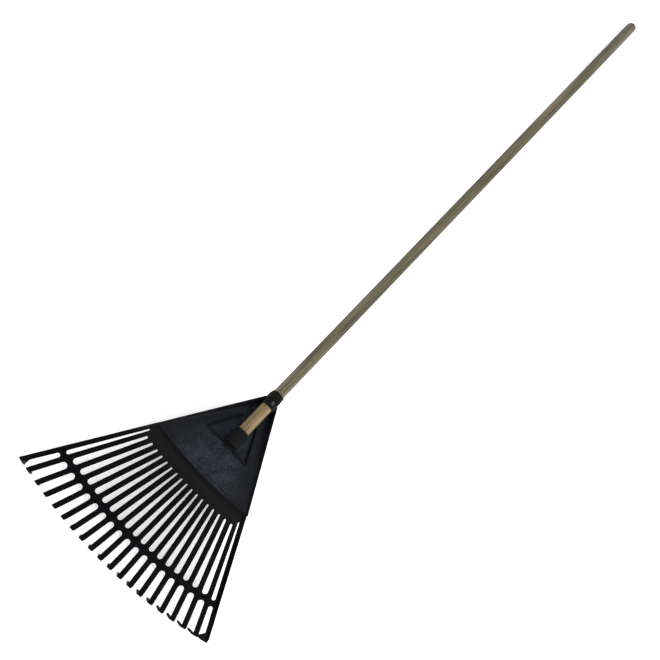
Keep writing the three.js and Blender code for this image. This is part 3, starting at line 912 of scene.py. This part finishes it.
@dataclass
class Socket(SubAssembly):
    """The two mouldings that hold the handle: a collar it passes through and a blind cup for its foot."""

    outer_radius: float = 0.0159
    lip_radius: float = 0.0146
    bore_radius: float = 0.0129
    saddle_width: float = 0.022
    saddle_set_in: float = 0.006
    overrun: float = 0.005

    def sleeve(self, name: str, start: float, end: float, saddle_start: float) -> bpy.types.Object:
        """A round sleeve standing on a block that carries it on the plate.

        Args:
            name: Name of the sleeve.
            start: Where its mouth is, down from the apex.
            end: Where its other end is.
            saddle_start: Where the block under it starts.

        Returns:
            The sleeve, not yet bored.
        """
        piece = round_bar(name, self.outer_radius, start, end)
        low = HEAD.plate_thickness / 2 - HEAD.gap
        upper = Vector((0.0, -saddle_start, low))
        lower = Vector((0.0, -end, low))
        combine(piece, bar("saddle", upper, lower, self.saddle_width, HEAD.handle_axis - low), Cut.TOGETHER)
        return piece

    def collar(self) -> bpy.types.Object:
        """The collar, which thins to a lip where the handle comes in."""
        start, end = HEAD.collar_start, HEAD.collar_end
        piece = self.sleeve("collar_moulding", start, end, start + self.saddle_set_in)
        pick_faces(piece, lambda face: face.normal.y > FACING and face.center.y > -start - HEAD.gap)
        ratio = self.lip_radius / self.outer_radius
        centre = Vector((0.0, -start, HEAD.handle_axis))
        bpy.ops.transform.resize(value=(ratio, 1.0, ratio), center_override=centre)
        bpy.ops.object.mode_set(mode="OBJECT")
        bore = round_bar("bore", self.bore_radius, start - self.overrun, end + self.overrun)
        combine(piece, bore, Cut.AWAY)
        mould(piece, SKIN_GRAIN, 4)
        return piece

    def cup(self) -> bpy.types.Object:
        """The cup, closed at its far end."""
        piece = self.sleeve("cup_moulding", HEAD.cup_mouth, HEAD.cup_end, HEAD.cup_mouth)
        floor = HEAD.cup_end - HEAD.cup_floor
        combine(piece, round_bar("bore", self.bore_radius, HEAD.cup_mouth - self.overrun, floor), Cut.AWAY)
        mould(piece, SKIN_GRAIN, 4)
        return piece

    def build(self) -> None:
        """Builds and dresses the collar and the cup."""
        place = self.place.head()
        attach(self.lay(self.collar(), place, Slot.TINE, ["socket_collar"]), RAKE_BODY)
        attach(self.lay(self.cup(), place, Slot.TINE, ["socket_cup"]), RAKE_BODY)


@dataclass
class Plate(SubAssembly):
    """The plate of the head: a sheet with raised sides, its rims, the triangle of ribs and the step."""

    neck_half: float = 0.0115
    neck_reach: float = 0.052
    top_reach: float = 0.014
    mesh_step: float = 0.003
    arc_turn: float = math.radians(9.0)
    arc_step: float = math.radians(0.6)
    flank_curve: float = 1.4
    rim_height: float = 0.0075
    rim_round: float = 0.0011
    rib_corner: tuple[float, float] = (0.056, 0.1587)
    rib_top: tuple[float, float] = (0.020, 0.091)
    rib_height: float = 0.0075
    base_rib_width: float = 0.0042
    side_rib_width: float = 0.0034
    stub_size: tuple[float, float] = (0.0075, 0.0062)
    ridge_drop: float = 0.027
    ridge_ends: tuple[float, float] = (-0.056, 0.041)
    ridge_size: tuple[float, float] = (0.0016, 0.0009)
    ridge_round: float = 0.0004
    step_wall: float = 0.003
    step_lip: float = 0.0013
    line_set_back: float = 0.0060
    line_width: float = 0.0009
    line_height: float = 0.0006
    line_round: float = 0.0003

    def lift(self, place: Vector) -> float:
        """How far the sheet rises towards its side edges at a point of its plan."""
        top, foot = HEAD.side_line()
        up = min(max((place.y - foot.y) / (top.y - foot.y), 0.0), 1.0)
        outer = foot.x + (top.x - foot.x) * up
        widening = min(max((place.y + self.neck_reach) / (foot.y + self.neck_reach), 0.0), 1.0)
        inner = self.neck_half + (foot.x - self.neck_half) * widening
        share = min(max((abs(place.x) - inner) / max(outer - inner, HEAD.gap), 0.0), 1.0)
        return top.z * up * share**self.flank_curve

    def sheet(self) -> bpy.types.Object:
        """A thin sheet, flat in the middle, whose sides curve up to the collar."""
        top, foot = HEAD.side_line()
        end = HEAD.step_reach - self.step_wall / 2
        half = HEAD.plate_thickness / 2
        place = Matrix.Translation((0.0, (top.y - end) / 2, 0.0))
        piece = block("plate_sheet", (2 * foot.x, end + top.y, 2 * half), place)
        for side in (-1.0, 1.0):
            run = Vector((side * (foot.x - top.x), foot.y - top.y, 0.0))
            trim(piece, Vector((side * foot.x, foot.y, 0.0)), Vector((-run.y * side, run.x * side, 0.0)))
        for turn in spaced(-self.arc_turn, self.arc_turn, self.arc_step):
            outward = Vector((math.sin(turn), -math.cos(turn), 0.0))
            trim(piece, AXIS_Y * HEAD.arc_setback + outward * (HEAD.arc_setback + end), outward)
        slice_through(piece, AXIS_Y, spaced(-end, top.y, self.mesh_step))
        slice_through(piece, AXIS_X, spaced(-foot.x, foot.x, self.mesh_step))
        for corner in piece.data.vertices:
            corner.co.z += self.lift(corner.co)
        upper = Vector((0.0, -self.top_reach, -half))
        lower = Vector((0.0, -self.neck_reach, -half))
        neck = bar("neck", upper, lower, 2 * self.neck_half, 2 * half - HEAD.gap / 3)
        soften(neck, HEAD.edge_round)
        return join([piece, neck])

    def rims(self) -> list[bpy.types.Object]:
        """The two upright rims along the raised sides."""
        sink = AXIS_Z * HEAD.plate_thickness / 2
        top, foot = (point - sink for point in HEAD.side_line())
        ends = {"rim_wall_left": (MIRROR_X @ top, MIRROR_X @ foot), "rim_wall_right": (top, foot)}
        rims = [bar(name, *pair, HEAD.rim_thickness, self.rim_height) for name, pair in ends.items()]
        for rim in rims:
            soften(rim, self.rim_round, 3)
        return rims

    def ribs(self) -> bpy.types.Object:
        """The triangle of ribs round the cup, with the stub of the mould's gate beyond its base."""
        low = HEAD.plate_thickness / 2 - HEAD.gap
        corner = Vector((self.rib_corner[0], -self.rib_corner[1], low))
        top = Vector((self.rib_top[0], -self.rib_top[1], low))
        width, length = self.stub_size
        stub = Vector((0.0, -self.rib_corner[1], low))
        piece = join([
            bar("rib_triangle", MIRROR_X @ corner, corner, self.base_rib_width, self.rib_height),
            bar("side", MIRROR_X @ corner, MIRROR_X @ top, self.side_rib_width, self.rib_height),
            bar("side", corner, top, self.side_rib_width, self.rib_height),
            bar("stub", stub, stub - AXIS_Y * length, width, self.rib_height - HEAD.edge_round),
        ])
        mould(piece, SKIN_GRAIN, 4)
        return piece

    def ridge(self) -> bpy.types.Object:
        """The faint straight ridge across the open part of the plate."""
        low = HEAD.plate_thickness / 2 - HEAD.gap
        y = -self.rib_corner[1] - self.ridge_drop
        start, end = (Vector((x, y, low)) for x in self.ridge_ends)
        piece = bar("plate_ridge", start, end, *self.ridge_size)
        soften(piece, self.ridge_round)
        return piece

    def step(self) -> bpy.types.Object:
        """The curved wall that drops from the plate to the fan, with a fine line along it."""
        top = HEAD.plate_thickness / 2
        low = -HEAD.step_drop - HEAD.tine_thickness / 2 + HEAD.gap
        inner = HEAD.step_reach - self.step_wall
        wall = arc_band("step_face", inner, HEAD.step_reach, low, top + self.step_lip, HEAD.gap)
        soften(wall, HEAD.edge_round, 3)
        near = inner - self.line_set_back
        line_top = top + self.line_height
        line = arc_band("line", near, near + self.line_width, 0.0, line_top, HEAD.rim_thickness)
        soften(line, self.line_round)
        return join([wall, line])

    def build(self) -> None:
        """Builds and dresses the plate and what stands on it."""
        left, right = self.rims()
        pieces = [
            (self.sheet(), Slot.PLATE, ["head_plate", "flank_left", "flank_right"]),
            (left, Slot.TINE, ["rim_left"]),
            (right, Slot.TINE, ["rim_right"]),
            (self.ribs(), Slot.TINE, ["rib_base", "rib_left", "rib_right"]),
            (self.ridge(), Slot.PLATE, []),
            (self.step(), Slot.TINE, ["step_wall"]),
        ]
        for piece, slot, nodes in pieces:
            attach(self.lay(piece, self.place.head(), slot, nodes), RAKE_BODY)


@dataclass
class Grid(SubAssembly):
    """The springy sheet between the step and the free tines: root band, slotted tines and crossbar."""

    lap: float = 0.0016
    rim_set_in: float = 0.0001
    rim_round: float = 0.0009
    slot_round: float = 0.47
    flex_length: float = 0.126
    slice_step: float = 0.009
    cut_depth: float = 0.010
    block_width: float = 0.018

    def slot_edges(self, number: int, distance: float) -> tuple[float, float]:
        """Sideways offsets of the two edges of the slot after a tine, from its middle ray.

        Args:
            number: The tine on its -X side.
            distance: How far out along the slot's middle ray.

        Returns:
            The lower and the higher offset.
        """
        half = HEAD.tine_pitch / 2
        low = HEAD.edges(number)[1] / math.cos(half) - distance * math.tan(half)
        high = HEAD.edges(number + 1)[0] / math.cos(half) + distance * math.tan(half)
        if high - low < HEAD.narrowest_slot:
            middle = (low + high) / 2
            return middle - HEAD.narrowest_slot / 2, middle + HEAD.narrowest_slot / 2
        return low, high

    def cutter(self, number: int, start: float, end: float, rounds: Sequence[float]) -> bpy.types.Object:
        """A tapering block along the middle of a slot, rounded at one end or both.

        Args:
            number: The tine on the slot's -X side.
            start: Distance from the apex to its near end.
            end: Distance to its far end.
            rounds: The ends that are rounded.

        Returns:
            The block.
        """
        near, far = self.slot_edges(number, start), self.slot_edges(number, end)
        place = Matrix.Translation(((start + end) / 2, sum(near) / 2, 0.0))
        piece = block("cutter", (end - start, near[1] - near[0], 2 * self.cut_depth), place)
        pick_faces(piece, lambda face: face.normal.x > FACING)
        ratio = (far[1] - far[0]) / (near[1] - near[0])
        centre = Vector((end, sum(near) / 2, 0.0))
        bpy.ops.transform.resize(value=(1.0, ratio, 1.0), center_override=centre)
        bpy.ops.transform.translate(value=(0.0, (sum(far) - sum(near)) / 2, 0.0))
        for place_x in rounds:
            low, high = self.slot_edges(number, place_x)
            pick_edges(piece, lambda a, b: abs(a.z - b.z) > HEAD.gap and abs(a.x - place_x) < HEAD.gap)
            bpy.ops.mesh.bevel(offset=(high - low) * self.slot_round, segments=6, affect="EDGES")
        bpy.ops.object.mode_set(mode="OBJECT")
        piece.data.transform(HEAD.ray(HEAD.angle(number + 0.5)))
        return piece

    def cutters(self, number: int) -> list[bpy.types.Object]:
        """The slot after a tine, and the gap beyond the crossbar that carries on from it."""
        angle = HEAD.angle(number + 0.5)
        extra = HEAD.outer_slot_extra if number in (1, HEAD.tine_count - 1) else 0.0
        root = HEAD.to_arc(angle, 0.0, HEAD.root_reach) - extra
        inner = HEAD.to_arc(angle, 0.0, HEAD.bar_inner)
        outer = HEAD.to_arc(angle, 0.0, HEAD.bar_outer)
        end = outer + 5 * HEAD.stub_length
        return [self.cutter(number, root, inner, (root, inner)), self.cutter(number, outer, end, (outer,))]

    def end_block(self, number: int) -> bpy.types.Object:
        """A block that squares off the stub of one tine, to the reach of its free end."""
        place = HEAD.ray(HEAD.angle(number)) @ Matrix.Translation((HEAD.stub_end(number), 0.0, 0.0))
        length = 4 * HEAD.stub_length
        ahead = Matrix.Translation((length / 2, 0.0, 0.0))
        return block("end", (length, self.block_width, 2 * self.cut_depth), place @ ahead)

    def rim(self, number: int) -> bpy.types.Object:
        """The rim along an outer tine, from the step to its stub's end."""
        angle, side = HEAD.angle(number), HEAD.side(number)
        offset = side * (HEAD.outer_edge - HEAD.rim_thickness / 2 - self.rim_set_in)
        start = HEAD.to_arc(angle, offset, HEAD.step_reach) - self.lap
        end = HEAD.stub_end(number)
        ends = (HEAD.point(angle, offset, distance) for distance in (start, end))
        piece = side_rim(*ends, (HEAD.rim_top(start), HEAD.rim_top(end)))
        shortest = 2 * HEAD.rim_thickness
        pick_edges(piece, lambda a, b: min(a.z, b.z) > HEAD.gap and (a - b).length > shortest)
        bpy.ops.mesh.bevel(offset=self.rim_round, segments=2, affect="EDGES")
        bpy.ops.object.mode_set(mode="OBJECT")
        return piece

    def is_cut_end(self, place: Vector) -> bool:
        """Whether a corner lies on the squared end of a stub, where the free tine carries on."""
        angle = math.atan2(place.x, -place.y)
        nearest = round(angle / HEAD.tine_pitch + (HEAD.tine_count + 1) / 2)
        number = min(max(nearest, 1), HEAD.tine_count)
        along = (HEAD.ray(HEAD.angle(number)).inverted() @ place).x
        return along > HEAD.stub_end(number) - HEAD.gap

    def round_edges(self, piece: bpy.types.Object) -> None:
        """Rounds every sharp edge but those of the stubs' squared ends."""
        edit_all(piece)
        bpy.ops.mesh.select_mode(type="EDGE")
        bpy.ops.mesh.select_all(action="DESELECT")
        bpy.ops.mesh.edges_select_sharp(sharpness=SHARP)
        bpy.ops.object.mode_set(mode="OBJECT")
        corners = piece.data.vertices
        for edge in piece.data.edges:
            if all(self.is_cut_end(corners[i].co) for i in edge.vertices):
                edge.select = False
        bpy.ops.object.mode_set(mode="EDIT")
        bpy.ops.mesh.bevel(offset=HEAD.edge_round, segments=2, affect="EDGES")
        bpy.ops.object.mode_set(mode="OBJECT")

    def build(self) -> None:
        """Builds the sheet, cuts its slots and dresses it."""
        half = HEAD.tine_thickness / 2
        numbers = range(1, HEAD.tine_count + 1)
        reach = HEAD.bar_outer + 3 * HEAD.stub_length
        piece = arc_band("fan_grid", HEAD.step_reach - self.lap, reach, -half, half, 0.0)
        slots = [cutter for number in numbers[:-1] for cutter in self.cutters(number)]
        combine(piece, join(slots), Cut.AWAY)
        combine(piece, join([self.end_block(number) for number in numbers]), Cut.AWAY)
        close_up(piece)
        self.round_edges(piece)
        join([piece, self.rim(1), self.rim(HEAD.tine_count)])
        start = -HEAD.step_reach - HEAD.bend_gap
        slice_through(piece, AXIS_Y, spaced(start, start - self.flex_length, self.slice_step))
        nodes = ["root_band", "crossbar", *(f"inner_tine_{number:02d}" for number in numbers)]
        place = self.place.fan()
        self.lay(piece, place, Slot.TINE, nodes)
        ends = (place @ (AXIS_Y * y) for y in (start, start - self.flex_length))
        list(ends)
        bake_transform(piece)


@dataclass
class FreeTines(SubAssembly):
    """The free ends of the tines beyond the crossbar, each with its hook."""

    hook_radius: float = 0.009
    hook_twist: float = 0.013
    lean: float = 0.0006
    curl: float = 0.0014
    curl_height: float = 0.009
    neck_thickness: float = 0.0046
    foot_thickness: float = 0.0042
    foot_width: float = 0.0066
    foot_round: float = 0.0009
    foot_taper: tuple[float, float] = (0.6, 0.75)
    lead: float = 0.004
    web_play: float = 0.0008
    web_length: float = 0.018
    web_depth: float = 0.022
    bend_steps: int = 7
    flex_length: float = 0.028

    def leg(self, piece: bpy.types.Object, drop: Vector, ratio: float, end: Vector) -> None:
        """Draws the hook's end face out by one step and changes its thickness.

        Args:
            piece: The tine, in edit mode with the hook's end face selected.
            drop: How far the face moves.
            ratio: New thickness over old.
            end: Middle of the face after the move, on its outer side.
        """
        bpy.ops.mesh.extrude_region_move(TRANSFORM_OT_translate={"value": drop})
        bpy.ops.transform.resize(value=(ratio, 1.0, 1.0), center_override=end)

    def blank(self, name: str, edges: tuple[float, float], start: float, end: float) -> bpy.types.Object:
        """A tine drawn along +X: a strip bent down round the hook's radius and drawn out to a foot.

        Args:
            name: Name of the tine.
            edges: Sideways offsets of its two edges.
            start: Where it starts.
            end: How far out the outside of its hook is.

        Returns:
            The tine.
        """
        half = HEAD.tine_thickness / 2
        bend = end - self.hook_radius
        low, high = edges
        place = Matrix.Translation(((start + bend) / 2, (low + high) / 2, 0.0))
        piece = block(name, (bend - start, high - low, 2 * half), place)
        pick_edges(piece, lambda a, b: abs(a.x - b.x) > HEAD.gap)
        bpy.ops.mesh.bevel(offset=HEAD.edge_round, segments=2, affect="EDGES")
        pick_faces(piece, lambda face: face.normal.x > FACING)
        centre = Vector((bend, 0.0, half - self.hook_radius))
        bpy.ops.mesh.spin(steps=self.bend_steps, angle=-math.pi / 2, center=centre, axis=AXIS_Y)
        neck = HEAD.hook_depth - self.curl_height
        outside = Vector((end - self.lean, 0.0, -neck))
        drop = Vector((-self.lean, 0.0, -neck - centre.z))
        self.leg(piece, drop, self.neck_thickness / HEAD.tine_thickness, outside)
        fall = self.curl_height - self.foot_round
        drop = Vector((-self.curl, 0.0, -fall))
        outside += drop
        self.leg(piece, drop, self.foot_thickness / self.neck_thickness, outside)
        middle = outside + Vector((-self.foot_thickness / 2, (low + high) / 2, -self.foot_round))
        bpy.ops.mesh.extrude_region_move(TRANSFORM_OT_translate={"value": (0.0, 0.0, -self.foot_round)})
        bpy.ops.transform.resize(value=(*self.foot_taper, 1.0), center_override=middle)
        close_up(piece)
        slice_through(piece, AXIS_X, spaced(start, bend, self.flex_length / 5))
        return piece

    def fit(self, piece: bpy.types.Object, number: int, start: float, end: float) -> None:
        """Draws one tine to its own length, hook depth and twist, and its end to the curve of the tips.

        Args:
            piece: The tine, still along +X.
            number: Which tine it is.
            start: Where the blank starts.
            end: How far out the blank's hook is.
        """
        angle = HEAD.angle(number)
        half = HEAD.tine_thickness / 2
        tip = HEAD.to_arc(angle, 0.0, HEAD.tip_reach)
        rise = HEAD.tip_reach - tip * math.cos(angle)
        deeper = rise * math.tan(HEAD.droop - self.place.lie)
        twist = -math.copysign(self.hook_twist, angle) * (angle / HEAD.last_angle()) ** 2
        sides = [HEAD.to_arc(angle, offset, HEAD.tip_reach) for offset in (-half, half)]
        slant = (sides[1] - sides[0]) / (2 * half)
        middle = sum(HEAD.edges(number)) / 2
        begin, bend = HEAD.stub_end(number), end - self.hook_radius
        for corner in piece.data.vertices:
            along = min(max((corner.co.x - start) / (bend - start), 0.0), 1.0)
            down = min(max((-half - corner.co.z) / (HEAD.hook_depth - half), 0.0), 1.0)
            narrowing = 1.0 + (self.foot_width / HEAD.tine_width - 1.0) * down
            across = middle + (corner.co.y - middle) * narrowing
            corner.co.x += (begin - start) * (1.0 - along) + (tip - end + slant * across) * along
            corner.co.y = across + twist * down
            corner.co.z -= deeper * down

    def outer(self, number: int, start: float, end: float) -> bpy.types.Object:
        """An outer tine, with the web inside its hook and the rim along its outer edge."""
        half = HEAD.tine_thickness / 2
        low, high = HEAD.edges(number)
        side = HEAD.side(number)
        piece = self.blank(f"tine_{number:02d}", (low, high), start - self.lead, end)
        corner = Vector((end - self.web_length, 0.0, -half))
        foot = Vector((end - HEAD.tine_thickness, 0.0, -self.web_depth))
        run = foot - corner
        play = self.web_play
        middle = Vector((end - self.web_length / 2 - play, (low + high) / 2, -self.web_depth / 2))
        size = (self.web_length - 2 * play, high - low - play, self.web_depth - play)
        web = block("web", size, Matrix.Translation(middle))
        trim(web, corner, Vector((run.z, 0.0, -run.x)))
        offset = side * (HEAD.outer_edge - HEAD.rim_thickness / 2)
        reaches = (start - self.lead, end - self.hook_radius)
        rim = side_rim(*(Vector((x, offset, 0.0)) for x in reaches), tuple(map(HEAD.rim_top, reaches)))
        join([piece, web, rim])
        mould(piece, SKIN_GRAIN, 3)
        trim(piece, AXIS_X * start, -AXIS_X)
        return piece

    def build(self) -> None:
        """Builds one inner tine and its copies, then the two outer ones, and dresses them all."""
        start = HEAD.bar_outer + HEAD.stub_length
        end = HEAD.tip_reach
        half = HEAD.tine_width / 2
        first = self.blank("tine_blank", (-half, half), start, end)
        for number in range(1, HEAD.tine_count + 1):
            if HEAD.side(number):
                piece = self.outer(number, start, end)
            else:
                piece = first.copy()
                piece.data = first.data.copy()
                piece.name = f"tine_{number:02d}"
                bpy.context.scene.collection.objects.link(piece)
            self.fit(piece, number, start, end)
            place = self.place.fan() @ HEAD.ray(HEAD.angle(number))
            self.lay(piece, place, Slot.TINE, [f"tine_tip_{number:02d}"])
            begin = HEAD.stub_end(number)
            ends = (place @ (AXIS_X * x) for x in (begin, begin + self.flex_length))
            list(ends)
            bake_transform(piece)
        bpy.data.objects.remove(first, do_unlink=True)


# ---------------------------------------------------------------- studio


@dataclass(frozen=True)
class Lamp:
    """One square soft light: where it hangs, its power in watts and the length of its side."""

    name: str
    place: tuple[float, float, float]
    power: float
    size: float


@dataclass
class Studio:
    """A pale floor, soft light and the camera."""

    key: Lamp = Lamp("key_light", (1.6, -0.9, 2.0), 45.0, 1.4)
    fill: Lamp = Lamp("fill_light", (-1.2, -2.2, 1.8), 12.0, 1.8)
    aim: tuple[float, float, float] = (0.0, -0.65, 0.0)
    air: float = 1.3
    camera_place: Vector = field(default_factory=lambda: Vector((-0.4179, -0.9050, 1.9018)))
    camera_right: Vector = field(default_factory=lambda: Vector((0.6469, 0.6652, 0.3729)))
    camera_view: Vector = field(default_factory=lambda: Vector((0.2024, 0.3217, -0.9250)))
    lens: float = 51.52
    floor_size: float = 14.0
    floor_glow: float = 0.22

    def floor(self) -> None:
        """A pale floor that glows a little, so that the shadow on it stays faint."""
        clear_selection()
        bpy.ops.mesh.primitive_plane_add(size=self.floor_size)
        floor = bpy.context.object
        floor.name = "studio_floor"
        material = bpy.data.materials.new("studio_paper")
        material.use_nodes = True
        surface = material.node_tree.nodes["Principled BSDF"]
        surface.inputs["Base Color"].default_value = (0.93, 0.93, 0.93, 1.0)
        surface.inputs["Roughness"].default_value = 0.9
        surface.inputs["Specular IOR Level"].default_value = 0.0
        surface.inputs["Emission Color"].default_value = (1.0, 1.0, 1.0, 1.0)
        surface.inputs["Emission Strength"].default_value = self.floor_glow
        floor.data.materials.append(material)

    def light(self, lamp: Lamp) -> None:
        """Hangs one lamp and aims it at the head."""
        place = Vector(lamp.place)
        clear_selection()
        bpy.ops.object.light_add(type="AREA", location=place)
        light = bpy.context.object
        light.name = lamp.name
        light.data.energy = lamp.power
        light.data.size = lamp.size
        light.rotation_euler = (Vector(self.aim) - place).to_track_quat("-Z", "Y").to_euler()

    def camera(self) -> None:
        """The camera, looking down at the head from beside it."""
        clear_selection()
        bpy.ops.object.camera_add()
        camera = bpy.context.object
        camera.data.lens = self.lens
        camera.data.clip_start = 0.05
        back = -self.camera_view.normalized()
        up = back.cross(self.camera_right).normalized()
        right = up.cross(back)
        turn = Matrix((right, up, back)).transposed().to_4x4()
        camera.matrix_world = Matrix.Translation(self.camera_place) @ turn
        bpy.context.scene.camera = camera

    def build(self) -> None:
        """Sets the studio up."""
        self.floor()
        self.light(self.key)
        self.light(self.fill)
        world = bpy.data.worlds.new("studio_air")
        world.use_nodes = True
        sky = world.node_tree.nodes["Background"]
        sky.inputs["Color"].default_value = (1.0, 1.0, 1.0, 1.0)
        sky.inputs["Strength"].default_value = self.air
        bpy.context.scene.world = world
        bpy.context.scene.view_settings.view_transform = "Standard"
        self.camera()


def main() -> None:
    """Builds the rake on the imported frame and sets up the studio."""
    logging.basicConfig(level=logging.INFO, format="%(name)s: %(message)s")
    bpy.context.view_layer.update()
    place = Placement.from_joints(frame["joints"])
    palette = Palette.mix(Workshop(place.head()))
    for part in (Handle, Socket, Plate, Grid, FreeTines):
        part(place, palette).build()
    Studio().build()


if __name__ == "__main__":
    main()
